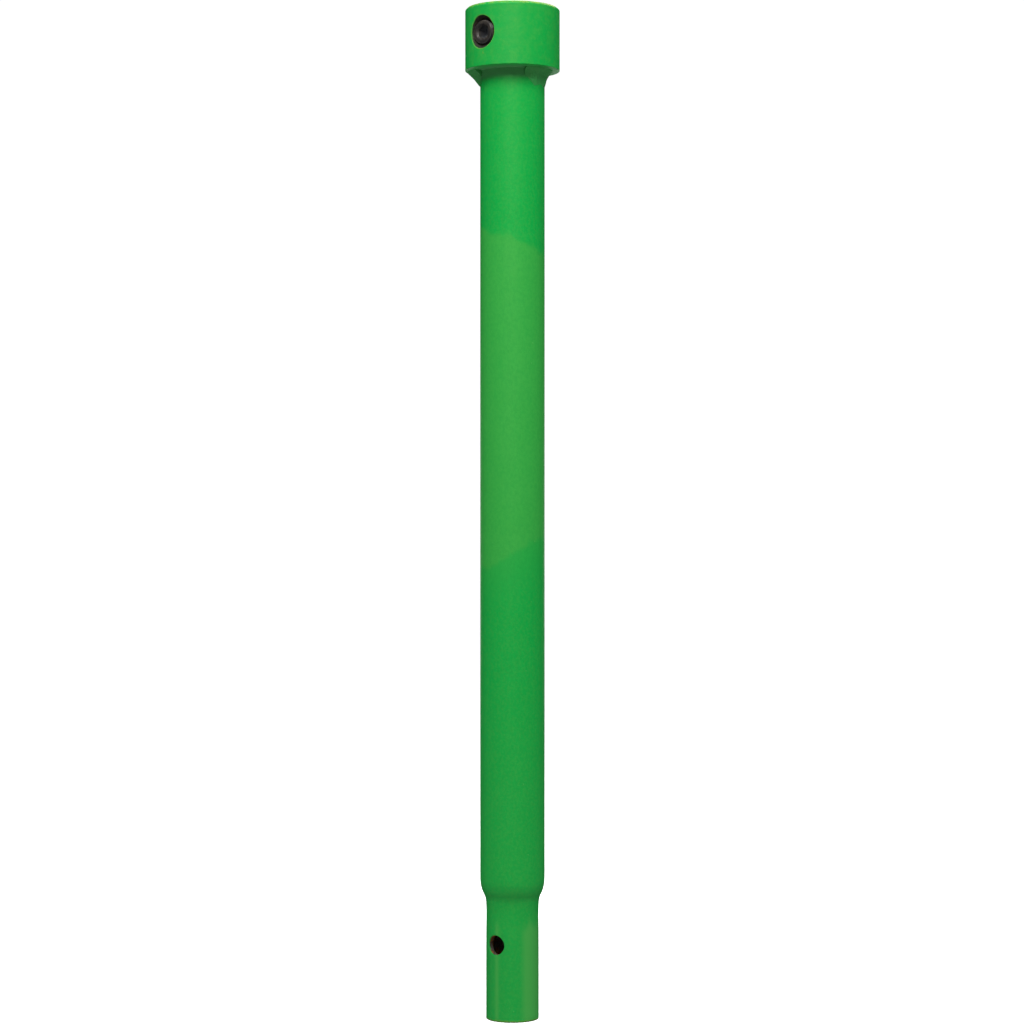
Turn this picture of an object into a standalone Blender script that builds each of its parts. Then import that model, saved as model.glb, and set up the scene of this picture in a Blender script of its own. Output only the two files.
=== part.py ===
"""Drive extension for a powered post and auger driver, built as its separate pieces.

A length of pipe carries the torque. Its lower end is swaged down to a shank that slips
into the next tool, and a heavy collar round its upper end takes a socket set screw,
which locks the driver's own shaft inside the pipe.

Frame: metres, +Z up along the pipe, origin at the centre of the shank's end face.
The set screw and the shank's cross hole both face -Y.
"""

import math

import bmesh
import bpy

# ---- Driving dimensions (metres) ------------------------------------------------------
TOTAL_LENGTH = 0.6604  # 26 in, shank end to collar top
PIPE_OD = 0.04216  # 1-1/4 in schedule 40 pipe
PIPE_WALL = 0.00356
SHANK_OD = 0.0344  # a slip fit in the same pipe's bore
SHANK_WALL = 0.0040  # swaging thickens the wall a little
COLLAR_OD = 0.0618
COLLAR_HEIGHT = 0.0410
SCREW_THREAD_OD = 0.015875  # 5/8-11 set screw with a half-dog point
SCREW_LENGTH = 0.015875
SCREW_DEPTH_BELOW_TOP = 0.0191
CROSS_HOLE_OD = 0.0127  # takes the point of the next tool's screw
CROSS_HOLE_HEIGHT = 0.0497

# ---- Worked out from them -------------------------------------------------------------
GAP = 0.0003  # kept between pieces that touch
PIPE_R = PIPE_OD / 2
BORE_R = PIPE_R - PIPE_WALL
SHANK_R = SHANK_OD / 2
SHANK_BORE_R = SHANK_R - SHANK_WALL
COLLAR_R = COLLAR_OD / 2
COLLAR_BORE_R = PIPE_R + GAP
COLLAR_BOTTOM = TOTAL_LENGTH - COLLAR_HEIGHT
PIPE_TOP = TOTAL_LENGTH - 0.0008  # the pipe stops just short of the collar's face
SCREW_HEIGHT = TOTAL_LENGTH - SCREW_DEPTH_BELOW_TOP

# The swaged shoulder: a convex arc, a short concave corner, then a slight neck.
SHOULDER_TOP = 0.0913
SHOULDER_BOTTOM = 0.0804
SHOULDER_DROP = 0.0031
NECK_TOP = 0.0762
NECK_BOTTOM = 0.0540
NECK_DEPTH = 0.00020

# The set screw, by distance from the pipe's axis.
SCREW_R = SCREW_THREAD_OD / 2 - GAP
POINT_LENGTH = 0.0044
POINT_R = 0.0058
POINT_TIP = 0.0136
SCREW_FACE = POINT_TIP + SCREW_LENGTH
SOCKET_FLATS = 0.0079375
SOCKET_DEPTH = 0.0074

# The countersink round it: its mouth's radius, and how fast it narrows with depth.
COUNTERSINK_R = 0.01095
COUNTERSINK_SLOPE = 0.76

TURN_STEPS = 72
HOLE_SEGMENTS = 40


# ---- Blender helpers ------------------------------------------------------------------
def clear_scene():
    """Remove every object that the startup file holds."""
    for obj in list(bpy.data.objects):
        bpy.data.objects.remove(obj, do_unlink=True)


def new_collection(name):
    """A new collection linked to the scene."""
    collection = bpy.data.collections.new(name)
    bpy.context.scene.collection.children.link(collection)
    return collection


def make_material(name, colour, roughness, metallic):
    """A Principled BSDF material."""
    material = bpy.data.materials.new(name)
    material.use_nodes = True
    shader = material.node_tree.nodes["Principled BSDF"]
    shader.inputs["Base Color"].default_value = (*colour, 1.0)
    shader.inputs["Roughness"].default_value = roughness
    shader.inputs["Metallic"].default_value = metallic
    material.diffuse_color = (*colour, 1.0)
    return material


def turned(name, profile, closed, collection, material):
    """A turned piece: (radius, height) points, listed down the outer side first."""
    count = len(profile)
    edges = [(i, i + 1) for i in range(count - 1)]
    if closed:
        edges.append((count - 1, 0))
    mesh = bpy.data.meshes.new(name)
    mesh.from_pydata([(r, 0.0, z) for r, z in profile], edges, [])
    mesh.materials.append(material)
    obj = bpy.data.objects.new(name, mesh)
    collection.objects.link(obj)
    screw = obj.modifiers.new("turn", "SCREW")
    screw.axis = "Z"
    screw.angle = math.tau
    screw.steps = TURN_STEPS
    screw.render_steps = TURN_STEPS
    screw.use_merge_vertices = True
    screw.merge_threshold = 0.00001
    return obj


def radial_cutter(name, radii, start, end, segments, height, collection):
    """A cylinder or cone along -Y at this height, between two distances off the axis."""
    shape = bmesh.new()
    bmesh.ops.create_cone(
        shape,
        cap_ends=True,
        segments=segments,
        radius1=radii[0],
        radius2=radii[1],
        depth=end - start,
    )
    bmesh.ops.translate(shape, vec=(0, 0, (start + end) / 2), verts=shape.verts)
    mesh = bpy.data.meshes.new(name)
    shape.to_mesh(mesh)
    shape.free()
    cutter = bpy.data.objects.new(name, mesh)
    face_front(cutter, height)
    cutter.hide_render = True
    cutter.display_type = "WIRE"
    collection.objects.link(cutter)
    return cutter


def face_front(obj, height):
    """Stand the object's local +Z along -Y, with its origin on the pipe's axis."""
    obj.location = (0.0, 0.0, height)
    obj.rotation_euler = (math.pi / 2, 0.0, 0.0)


def cut(obj, cutter):
    """Take the cutter's shape out of the object."""
    boolean = obj.modifiers.new("cut_" + cutter.name, "BOOLEAN")
    boolean.operation = "DIFFERENCE"
    boolean.solver = "EXACT"
    boolean.object = cutter


def settle(obj):
    """Turn the modifiers' result into the object's own mesh, smooth but for its edges."""
    bpy.context.view_layer.update()
    graph = bpy.context.evaluated_depsgraph_get()
    mesh = bpy.data.meshes.new_from_object(obj.evaluated_get(graph))
    obj.modifiers.clear()
    obj.data = mesh
    mesh.shade_smooth()
    mesh.set_sharp_from_angle(angle=math.radians(30))


def arc(centre, radius, start, end, steps):
    """Points on an arc in the (radius, height) plane, angles in degrees."""
    angles = [math.radians(start + (end - start) * i / steps) for i in range(steps + 1)]
    return [
        (centre[0] + radius * math.cos(a), centre[1] + radius * math.sin(a))
        for a in angles
    ]


# ---- Pieces ---------------------------------------------------------------------------
def shoulder_arc(top_radius, drop, top, height, steps):
    """A convex arc that leaves the pipe's side at `top` and closes in by `drop`."""
    sweep_radius = (height**2 + drop**2) / (2 * drop)
    end = -math.degrees(math.asin(height / sweep_radius))
    return arc((top_radius - sweep_radius, top), sweep_radius, 0, end, steps)


def neck(radius, top, bottom, depth, steps):
    """The slight waist that swaging leaves under the shoulder."""
    points = []
    for i in range(steps + 1):
        share = i / steps
        waist = depth * math.sin(math.pi * share) ** 2
        points.append((radius - waist, top + (bottom - top) * share))
    return points


def drive_tube(collection, material):
    """The pipe: full size above, swaged to the shank below, open at both ends."""
    edge_break = 0.0007
    corner = (SHANK_R + 0.00022, (SHOULDER_BOTTOM + NECK_TOP) / 2 + 0.0006)
    outside = [(PIPE_R - 0.0004, PIPE_TOP), (PIPE_R, PIPE_TOP - 0.0004)]
    outside += shoulder_arc(
        PIPE_R,
        SHOULDER_DROP,
        SHOULDER_TOP,
        SHOULDER_TOP - SHOULDER_BOTTOM,
        8,
    )
    outside.append(corner)
    outside += neck(SHANK_R, NECK_TOP, NECK_BOTTOM, NECK_DEPTH, 6)
    outside += [(SHANK_R, edge_break), (SHANK_R - edge_break, 0.0)]
    inside = [(SHANK_BORE_R + edge_break, 0.0), (SHANK_BORE_R, edge_break)]
    bore_step = shoulder_arc(
        BORE_R,
        BORE_R - SHANK_BORE_R,
        SHOULDER_TOP,
        SHOULDER_TOP - SHOULDER_BOTTOM,
        6,
    )
    inside += reversed(bore_step)
    inside += [(BORE_R, PIPE_TOP - 0.0006), (BORE_R + 0.0006, PIPE_TOP)]
    return turned("drive_tube", outside + inside, True, collection, material)


def coupling_collar(collection, material):
    """The heavy ring round the pipe's upper end, chamfered, with a tapped hole."""
    top_chamfer = 0.0016
    bottom_chamfer = 0.0005
    profile = [
        (COLLAR_R - top_chamfer, TOTAL_LENGTH),
        (COLLAR_R, TOTAL_LENGTH - top_chamfer),
        (COLLAR_R, COLLAR_BOTTOM + bottom_chamfer),
        (COLLAR_R - bottom_chamfer, COLLAR_BOTTOM),
        (COLLAR_BORE_R, COLLAR_BOTTOM),
        (COLLAR_BORE_R, TOTAL_LENGTH),
    ]
    return turned("coupling_collar", profile, True, collection, material)


def set_screw(collection, cutters, material):
    """Socket set screw with a half-dog point, standing in the collar's tapped hole."""
    end_chamfer = 0.0008
    shoulder = POINT_TIP + POINT_LENGTH
    profile = [
        (0.0, SCREW_FACE),
        (SCREW_R - end_chamfer, SCREW_FACE),
        (SCREW_R, SCREW_FACE - end_chamfer),
        (SCREW_R, shoulder + SCREW_R - POINT_R - end_chamfer),
        (POINT_R + end_chamfer, shoulder),
        (POINT_R, shoulder),
        (POINT_R, POINT_TIP + 0.0004),
        (POINT_R - 0.0004, POINT_TIP),
        (0.0, POINT_TIP),
    ]
    screw = turned("set_screw", profile, False, collection, material)
    face_front(screw, SCREW_HEIGHT)
    corner_radius = SOCKET_FLATS / 2 / math.cos(math.pi / 6)
    socket = radial_cutter(
        "hex_socket",
        (corner_radius, corner_radius),
        SCREW_FACE - SOCKET_DEPTH,
        SCREW_FACE + 0.002,
        6,
        SCREW_HEIGHT,
        cutters,
    )
    cut(screw, socket)
    return screw


def weld_section(name, out, down, collection):
    """The cross-section of a fillet weld: it grows out from a corner at (0, 0)."""
    curve = bpy.data.curves.new(name, "CURVE")
    curve.dimensions = "2D"
    corners = [
        (GAP, -GAP),
        (out, -GAP),
        (out - 0.0002, -0.10 * down),
        (0.42 * out, -0.52 * down),
        (0.16 * out, -0.84 * down),
        (GAP + 0.0002, -down),
        (GAP, -down),
    ]
    spline = curve.splines.new("POLY")
    spline.points.add(len(corners) - 1)
    for point, (x, y) in zip(spline.points, corners):
        point.co = (x, y, 0.0, 1.0)
    spline.use_cyclic_u = True
    section = bpy.data.objects.new(name, curve)
    section.hide_render = True
    collection.objects.link(section)
    return section


def weld_bead(name, start, end, section, collection, material):
    """A stitch of weld under the collar, from one bearing to another in degrees.

    Bearings run from -Y towards +X. The bead tapers at its two ends.
    """
    steps = 22
    curve = bpy.data.curves.new(name, "CURVE")
    curve.dimensions = "3D"
    curve.twist_mode = "Z_UP"
    curve.bevel_mode = "OBJECT"
    curve.bevel_object = section
    curve.use_fill_caps = True
    curve.materials.append(material)
    spline = curve.splines.new("POLY")
    spline.points.add(steps)
    for i, point in enumerate(spline.points):
        share = i / steps
        bearing = math.radians(start + (end - start) * share)
        x = PIPE_R * math.sin(bearing)
        y = -PIPE_R * math.cos(bearing)
        point.co = (x, y, COLLAR_BOTTOM, 1.0)
        point.radius = min(1.0, 0.55 + 4.0 * min(share, 1.0 - share))
    bead = bpy.data.objects.new(name, curve)
    collection.objects.link(bead)
    return bead


def main():
    """Build the five pieces."""
    clear_scene()
    parts = new_collection("post_driver_extension")
    cutters = new_collection("cutters")
    tube_green = make_material("tube_powder_coat", (0.025, 0.36, 0.070), 0.42, 0.0)
    collar_green = make_material("collar_powder_coat", (0.035, 0.42, 0.065), 0.40, 0.0)
    weld_green = make_material("weld_powder_coat", (0.022, 0.20, 0.045), 0.48, 0.0)
    black_oxide = make_material("black_oxide_steel", (0.03, 0.03, 0.033), 0.40, 0.9)

    tube = drive_tube(parts, tube_green)
    collar = coupling_collar(parts, collar_green)
    tapped_hole = radial_cutter(
        "tapped_hole",
        (SCREW_THREAD_OD / 2, SCREW_THREAD_OD / 2),
        0.006,
        COLLAR_R + 0.005,
        HOLE_SEGMENTS,
        SCREW_HEIGHT,
        cutters,
    )
    cross_hole = radial_cutter(
        "cross_hole",
        (CROSS_HOLE_OD / 2, CROSS_HOLE_OD / 2),
        0.004,
        SHANK_R + 0.005,
        HOLE_SEGMENTS,
        CROSS_HOLE_HEIGHT,
        cutters,
    )
    overshoot = 0.004
    cone_start = COLLAR_R - (COUNTERSINK_R - SCREW_THREAD_OD / 2) / COUNTERSINK_SLOPE
    countersink = radial_cutter(
        "countersink",
        (SCREW_THREAD_OD / 2, COUNTERSINK_R + COUNTERSINK_SLOPE * overshoot),
        cone_start,
        COLLAR_R + overshoot,
        HOLE_SEGMENTS,
        SCREW_HEIGHT,
        cutters,
    )
    cut(tube, tapped_hole)
    cut(tube, cross_hole)
    cut(collar, tapped_hole)
    cut(collar, countersink)
    screw = set_screw(parts, cutters, black_oxide)
    for obj in (tube, collar, screw):
        settle(obj)

    narrow = weld_section("narrow_weld_section", 0.0053, 0.0114, cutters)
    wide = weld_section("wide_weld_section", 0.0091, 0.0095, cutters)
    weld_bead("weld_bead_right", 61, 147, narrow, parts, weld_green)
    weld_bead("weld_bead_left", -119, -33, wide, parts, weld_green)


main()
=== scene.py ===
"""Looks of the green drive extension: paint, threads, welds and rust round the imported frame.

Lengths in the modelling code are in millimetres, in the part's own frame: +Z runs up the pipe
from the shank's end face, and the set screw and the cross hole face -Y. Meshes, lamps and the
camera are in metres.
"""

import math

import bmesh
import bpy
import numpy as np
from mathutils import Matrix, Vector


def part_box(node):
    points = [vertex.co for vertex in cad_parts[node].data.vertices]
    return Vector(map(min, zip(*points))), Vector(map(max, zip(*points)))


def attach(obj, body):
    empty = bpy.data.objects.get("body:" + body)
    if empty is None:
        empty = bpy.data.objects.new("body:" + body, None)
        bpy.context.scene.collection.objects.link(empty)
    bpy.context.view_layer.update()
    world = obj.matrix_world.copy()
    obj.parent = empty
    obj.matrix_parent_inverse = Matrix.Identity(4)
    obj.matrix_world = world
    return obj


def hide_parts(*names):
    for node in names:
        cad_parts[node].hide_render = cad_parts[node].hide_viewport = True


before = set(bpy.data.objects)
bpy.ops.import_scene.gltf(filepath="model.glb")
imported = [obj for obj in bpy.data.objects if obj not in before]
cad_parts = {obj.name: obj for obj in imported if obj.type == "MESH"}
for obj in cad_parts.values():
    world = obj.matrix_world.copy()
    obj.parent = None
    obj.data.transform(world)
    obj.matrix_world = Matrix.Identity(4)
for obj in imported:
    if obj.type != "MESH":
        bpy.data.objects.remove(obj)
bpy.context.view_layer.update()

# ---- Sizes, in mm ---------------------------------------------------------------------
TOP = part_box("coupling_collar")[1].z * 1000
COLLAR_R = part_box("coupling_collar")[1].x * 1000
COLLAR_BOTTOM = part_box("coupling_collar")[0].z * 1000
PIPE_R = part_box("drive_tube")[1].x * 1000
PIPE_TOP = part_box("drive_tube")[1].z * 1000
BORE_R = 17.52
SHANK_R = 17.20
SHANK_BORE_R = 13.20
SCREW_FACE = -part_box("set_screw")[0].y * 1000
POINT_TIP = -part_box("set_screw")[1].y * 1000
screw_low, screw_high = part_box("set_screw")
SCREW_Z = (screw_low.z + screw_high.z) * 500
CROSS_HOLE_Z = 49.7
CROSS_HOLE_R = 6.35
SOCKET_TURN = 4.0  # degrees that the socket has turned from a corner pointing up

# 5/8-11 thread
PITCH = 2.309
PITCH_R = 7.19
SHARP_HEIGHT = 2.0
THREAD_CLEARANCE = 0.06
INNER_THREAD = (6.86, 8.08)  # the tapped hole's crest and root
OUTER_THREAD = (6.50, 7.84)  # the screw's root and crest
THREAD_STEP = 0.115  # between the rows of a tapped wall
POINT_R = 5.80
POINT_LENGTH = 4.4
SOCKET_FLATS = 7.94
SOCKET_DEPTH = 7.4

# The countersink round the screw
COUNTERSINK_R = 10.95
COUNTERSINK_SLOPE = 0.76
COUNTERSINK_LIP = 0.32  # how far its rounded edge spreads

# The screw's hole, where the pipe lies behind the collar
PIPE_HOLE_R = 7.5
INNER_FLARE = 0.15  # how much wider a hole's inner rim is
TAPPED_SEAM_R = PIPE_HOLE_R + INNER_FLARE  # a tapped wall's last, plain row


# ---- Small mathematics ----------------------------------------------------------------
def smooth(x):
    """0 below 0, 1 above 1, and an S-curve between."""
    x = np.clip(x, 0.0, 1.0)
    return x * x * (3 - 2 * x)


def lattice(seed, count):
    """Repeatable values from -1 to 1."""
    return np.random.default_rng(seed).uniform(-1, 1, count)


def wander(x, spacing, seed):
    """A smooth random line over x, with one free value every `spacing`."""
    x = np.asarray(x, float) / spacing
    values = lattice(seed, 4096)
    cell = np.floor(x).astype(int)
    share = smooth(x - cell)
    return values[cell % 4096] * (1 - share) + values[(cell + 1) % 4096] * share


def wander_2d(x, y, spacing, seed):
    """A smooth random field over x and y."""
    x, y = np.asarray(x, float) / spacing, np.asarray(y, float) / spacing
    table = lattice(seed, 64 * 64).reshape(64, 64)
    i, j = np.floor(x).astype(int), np.floor(y).astype(int)
    u, v = smooth(x - i), smooth(y - j)
    i0, i1, j0, j1 = i % 64, (i + 1) % 64, j % 64, (j + 1) % 64
    low = table[i0, j0] * (1 - u) + table[i1, j0] * u
    high = table[i0, j1] * (1 - u) + table[i1, j1] * u
    return low * (1 - v) + high * v


CORNER_STEPS = 6


def corner(before, at, after, radius, steps):
    """Points that round the corner `at` between its two neighbours."""
    at = np.array(at, float)
    ends = []
    for other in (before, after):
        away = np.array(other, float) - at
        ends.append(at + away / np.linalg.norm(away) * radius)
    t = np.linspace(0, 1, steps + 1)[:, None]
    return (1 - t) ** 2 * ends[0] + 2 * t * (1 - t) * at + t**2 * ends[1]


def rounded(points, radii):
    """An open line of (radius, height) points with its corners rounded."""
    line = [np.array([points[0]], float)]
    for i in range(1, len(points) - 1):
        if radii[i] > 0:
            line.append(
                corner(points[i - 1], points[i], points[i + 1], radii[i], CORNER_STEPS)
            )
        else:
            line.append(np.array([points[i]], float))
    line.append(np.array([points[-1]], float))
    return np.concatenate(line)


def catmull_rom(knots, xs):
    """A smooth curve through (x, y) knots, read at xs."""
    kx, ky = np.array(knots, float).T
    slope = np.gradient(ky, kx)
    i = np.clip(np.searchsorted(kx, xs) - 1, 0, len(kx) - 2)
    h = kx[i + 1] - kx[i]
    t = np.clip((xs - kx[i]) / h, 0, 1)
    return (
        (2 * t**3 - 3 * t**2 + 1) * ky[i]
        + (t**3 - 2 * t**2 + t) * h * slope[i]
        + (-2 * t**3 + 3 * t**2) * ky[i + 1]
        + (t**3 - t**2) * h * slope[i + 1]
    )


# ---- Meshes from grids of points ------------------------------------------------------
MASKS = ("bare", "tone", "streak", "dull", "rub")
WELD_DISTANCE = 1.5e-6  # metres within which the grids' shared points are joined
LEAST_EDGE = 1e-7  # metres


class Shell:
    """Grids of points welded into one closed mesh, with the paint's masks at each vertex.

    bare: the coat has gone, down to the steel. tone: a yellower green, and on
    the screw a lighter grey painted as light, deep in the socket and on its side that looks
    down.
    streak: a lighter green, painted highlights in upright streaks on the shank.
    dull: a duller, greyer green, painted shade under the collar and on the welds.
    rub: a coat worn thin and light on an edge, and painted highlights on lit edges.
    """

    def __init__(self):
        self.points = []
        self.masks = {name: [] for name in MASKS}
        self.faces = []
        self.count = 0

    def grid(self, points, bare=0.0, skip=None, **masks):
        """Add closed rows of points, each joined to the next, but for the skipped quads."""
        points = np.asarray(points, float)
        rows, columns = points.shape[:2]
        masks["bare"] = bare
        self.points.append(points.reshape(-1, 3))
        for name in MASKS:
            values = np.asarray(masks.get(name, 0.0), float)
            self.masks[name].append(np.broadcast_to(values, (rows, columns)).ravel())
        i, j = np.meshgrid(np.arange(rows - 1), np.arange(columns), indexing="ij")
        if skip is not None:
            keep = ~skip[: rows - 1]
            i, j = i[keep], j[keep]
        i, j = i.ravel(), j.ravel()
        j_next = (j + 1) % columns
        quads = [
            i * columns + j,
            i * columns + j_next,
            (i + 1) * columns + j_next,
            (i + 1) * columns + j,
        ]
        self.faces.append(np.stack(quads, 1) + self.count)
        self.count += rows * columns

    def build(self, name, material, sharp_angle=50):
        """The finished object, in metres."""
        points = np.concatenate(self.points) * 0.001
        faces = np.concatenate(self.faces)
        mesh = bpy.data.meshes.new(name)
        mesh.from_pydata(points.tolist(), [], faces.tolist())
        for mask in MASKS:
            attribute = mesh.attributes.new(mask, "FLOAT", "POINT")
            values = np.concatenate(self.masks[mask]).astype(np.float32)
            attribute.data.foreach_set("value", values)
        shape = bmesh.new()
        shape.from_mesh(mesh)
        bmesh.ops.remove_doubles(shape, verts=shape.verts, dist=WELD_DISTANCE)
        bmesh.ops.dissolve_degenerate(shape, edges=shape.edges, dist=LEAST_EDGE)
        bmesh.ops.recalc_face_normals(shape, faces=shape.faces)
        if shape.calc_volume(signed=True) < 0:
            bmesh.ops.reverse_faces(shape, faces=shape.faces)
        shape.to_mesh(mesh)
        shape.free()
        mesh.shade_smooth()
        mesh.set_sharp_from_angle(angle=math.radians(sharp_angle))
        mesh.materials.append(material)
        obj = bpy.data.objects.new(name, mesh)
        bpy.context.scene.collection.objects.link(obj)
        return obj


def turn(radii, heights, columns):
    """Rings of points: bearing 0 is -Y, and bearings grow towards +X."""
    a = np.arange(columns) * math.tau / columns
    r, z = np.asarray(radii, float)[:, None], np.asarray(heights, float)[:, None]
    return np.stack([r * np.sin(a), -r * np.cos(a), z + 0 * a], -1)


def window(rows, half, row_low, row_high, columns):
    """Which quads a square hole's surroundings replace, and the loop of points round them."""
    skip = np.zeros((rows, columns), bool)
    skip[row_low:row_high, :half] = True
    skip[row_low:row_high, -half:] = True
    loop = [(row_low, j) for j in range(-half, half)]
    loop += [(i, half) for i in range(row_low, row_high)]
    loop += [(row_high, j) for j in range(half, -half, -1)]
    loop += [(i, -half) for i in range(row_high, row_low, -1)]
    return skip, [(i, j % columns) for i, j in loop]


def loop_bearings(count):
    """Angles round a hole for the loop's points, which start at the lower left corner."""
    return -0.75 * math.pi + np.arange(count) * math.tau / count


def ring_round_hole(rho, phi, hole_z, depth):
    """Points at distance rho from the hole's axis, and `depth` from the pipe's axis."""
    x = rho * np.cos(phi) + 0 * depth
    z = hole_z + rho * np.sin(phi) + 0 * depth
    return np.stack([x, -(depth + 0 * x), z], -1)


def patch(loop, hole_z, rim, surface, steps):
    """Rings from a square loop to a hole's rim, lying on the surface depth(x, z)."""
    phi = loop_bearings(len(loop))
    x_rim, z_rim = rim * np.cos(phi), hole_z + rim * np.sin(phi)
    rings = [loop]
    for k in range(1, steps + 1):
        t = 1 - (1 - k / steps) ** 1.25
        x = loop[:, 0] * (1 - t) + x_rim * t
        z = loop[:, 2] * (1 - t) + z_rim * t
        rings.append(np.stack([x, -surface(x, z), z], -1))
    return np.array(rings)


def thread_radius(depth, phi, inner):
    """A right-hand 60 degree thread's radius about the hole's axis."""
    phase = (depth / PITCH - phi / math.tau) % 1.0
    sharp = PITCH_R + SHARP_HEIGHT * (np.abs(2 * phase - 1) - 0.5)
    if inner:
        return np.clip(sharp + THREAD_CLEARANCE, *INNER_THREAD)
    return np.clip(sharp - THREAD_CLEARANCE, *OUTER_THREAD)


def tapped_rows(start, finish, entry):
    """The wall of a tapped hole, from its outer rim's depth to its inner one.

    `entry` gives the least radius at a depth, which is how a countersink cuts the thread.
    The last row is plain, so that the surface inside can start from it.
    """
    phi = loop_bearings(len(start))
    rows = int(float(np.max(start - finish)) / THREAD_STEP)
    wall = []
    for t in np.linspace(0, 1, rows + 1)[1:]:
        depth = start * (1 - t) + finish * t
        rho = np.maximum(thread_radius(depth, phi, True), entry(depth))
        if t == 1.0:
            rho = np.full(len(phi), TAPPED_SEAM_R)
        wall.append(ring_round_hole(rho, phi, SCREW_Z, depth))
    return wall


# ---- Node helpers ---------------------------------------------------------------------
class Nodes:
    """Short names for building a material's node tree."""

    def __init__(self, name):
        self.material = bpy.data.materials.new(name)
        self.material.use_nodes = True
        self.tree = self.material.node_tree
        self.shader = self.tree.nodes["Principled BSDF"]
        self.position = self.node("ShaderNodeTexCoord").outputs["Object"]

    def node(self, kind, **settings):
        """A new node with its settings made."""
        node = self.tree.nodes.new(kind)
        for key, value in settings.items():
            setattr(node, key, value)
        return node

    def put(self, socket, value):
        """Link a socket or set its value."""
        if isinstance(value, bpy.types.NodeSocket):
            self.tree.links.new(value, socket)
        else:
            socket.default_value = value

    def math(self, operation, a, b):
        """A Math node."""
        node = self.node("ShaderNodeMath", operation=operation)
        self.put(node.inputs[0], a)
        self.put(node.inputs[1], b)
        return node.outputs[0]

    def noise(self, scale, detail, roughness, offset=None):
        """Noise over the object's own coordinates; scale is in waves a metre."""
        vector = self.position
        if offset:
            mapping = self.node("ShaderNodeMapping")
            self.put(mapping.inputs["Vector"], vector)
            mapping.inputs["Location"].default_value = offset
            vector = mapping.outputs[0]
        node = self.node("ShaderNodeTexNoise")
        self.put(node.inputs["Vector"], vector)
        node.inputs["Scale"].default_value = scale
        node.inputs["Detail"].default_value = detail
        node.inputs["Roughness"].default_value = roughness
        return node.outputs["Fac"]

    def cells(self, scale):
        """Distance to the nearest point of a Voronoi pattern."""
        node = self.node("ShaderNodeTexVoronoi")
        self.put(node.inputs["Vector"], self.position)
        node.inputs["Scale"].default_value = scale
        return node.outputs["Distance"]

    def ramp(self, value, low, high, out_low=0.0, out_high=1.0):
        """A smooth step of the value between low and high."""
        node = self.node("ShaderNodeMapRange", interpolation_type="SMOOTHSTEP")
        self.put(node.inputs["Value"], value)
        node.inputs["From Min"].default_value = low
        node.inputs["From Max"].default_value = high
        node.inputs["To Min"].default_value = out_low
        node.inputs["To Max"].default_value = out_high
        return node.outputs["Result"]

    def mix(self, share, a, b):
        """A mix of two colours."""
        node = self.node("ShaderNodeMix", data_type="RGBA")
        self.put(node.inputs["Factor"], share)
        for socket, value in ((node.inputs[6], a), (node.inputs[7], b)):
            if isinstance(value, tuple):
                value = (*value, 1.0)
            self.put(socket, value)
        return node.outputs[2]

    def blend(self, share, a, b):
        """A mix of two numbers."""
        node = self.node("ShaderNodeMix", data_type="FLOAT")
        self.put(node.inputs["Factor"], share)
        self.put(node.inputs[2], a)
        self.put(node.inputs[3], b)
        return node.outputs[0]

    def along(self, direction):
        """How far the point lies along a direction from the shank's end, in metres."""
        node = self.node("ShaderNodeVectorMath", operation="DOT_PRODUCT")
        self.put(node.inputs[0], self.position)
        node.inputs[1].default_value = direction
        return node.outputs["Value"]

    def attribute(self, name):
        """A number stored on the mesh."""
        node = self.node("ShaderNodeAttribute", attribute_name=name)
        return node.outputs["Fac"]

    def bump(self, height, distance, strength, normal=None):
        """A Bump node; distance is in metres."""
        node = self.node("ShaderNodeBump")
        self.put(node.inputs["Height"], height)
        node.inputs["Distance"].default_value = distance
        node.inputs["Strength"].default_value = strength
        if normal is not None:
            self.put(node.inputs["Normal"], normal)
        return node.outputs["Normal"]


# ---- Materials ------------------------------------------------------------------------
GREEN = (0.001, 0.400, 0.059)
YELLOWER_GREEN = (0.044, 0.415, 0.060)
DEEP_GREEN = (0.001, 0.310, 0.046)
# A lighter green for the painted highlight streaks on the shank.
STREAK_GREEN = (0.055, 0.425, 0.072)
# A duller, greyer green: painted shade, the colour of the shade under the collar and on the
# welds.
DULL_GREEN = (0.075, 0.360, 0.110)
# A lighter, yellower green: a coat worn thin on an edge, and painted highlights along lit
# edges.
THIN_GREEN = (0.220, 0.340, 0.040)
NIB_GREEN = (0.110, 0.480, 0.110)
COAT_SPECULAR = 0.38
COAT_SPECULAR_TINT = (1.0, 0.97, 0.60, 1.0)

# The yellower band round the pipe's middle: the directions along which its two ends are cut
# off, and how far along them, in metres, it fades in, steps up and stops.
BAND_LOWER = (-0.394, -0.340, 1.0)
BAND_UPPER = (0.272, 0.235, 1.0)
BAND_FADE = (0.272, 0.312)
BAND_STEP = (0.309, 0.314)
BAND_STOP = (0.5125, 0.5185)

# Bare steel: the range of its mill scale, the range of its rust, and the level of the noise
# above which it rusts.
WEATHERED = (
    (0.075, 0.066, 0.060),
    (0.200, 0.160, 0.125),
    (0.17, 0.062, 0.020),
    (0.60, 0.180, 0.030),
    0.46,
)
OILED = (
    (0.020, 0.020, 0.018),
    (0.052, 0.048, 0.042),
    (0.040, 0.026, 0.018),
    (0.085, 0.046, 0.024),
    0.56,
)

# The screw
BLACK_OXIDE = (0.030, 0.029, 0.028)
BROWN_OXIDE = (0.070, 0.060, 0.050)
# A lighter grey, painted as light in the socket's shade and on the screw's shaded lower edge.
SOCKET_GREY = (0.240, 0.255, 0.280)
# The worn steel's lighter colour, also the painted highlight at the socket mouth's lower left.
WORN_OXIDE = (0.20, 0.175, 0.145)


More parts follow.
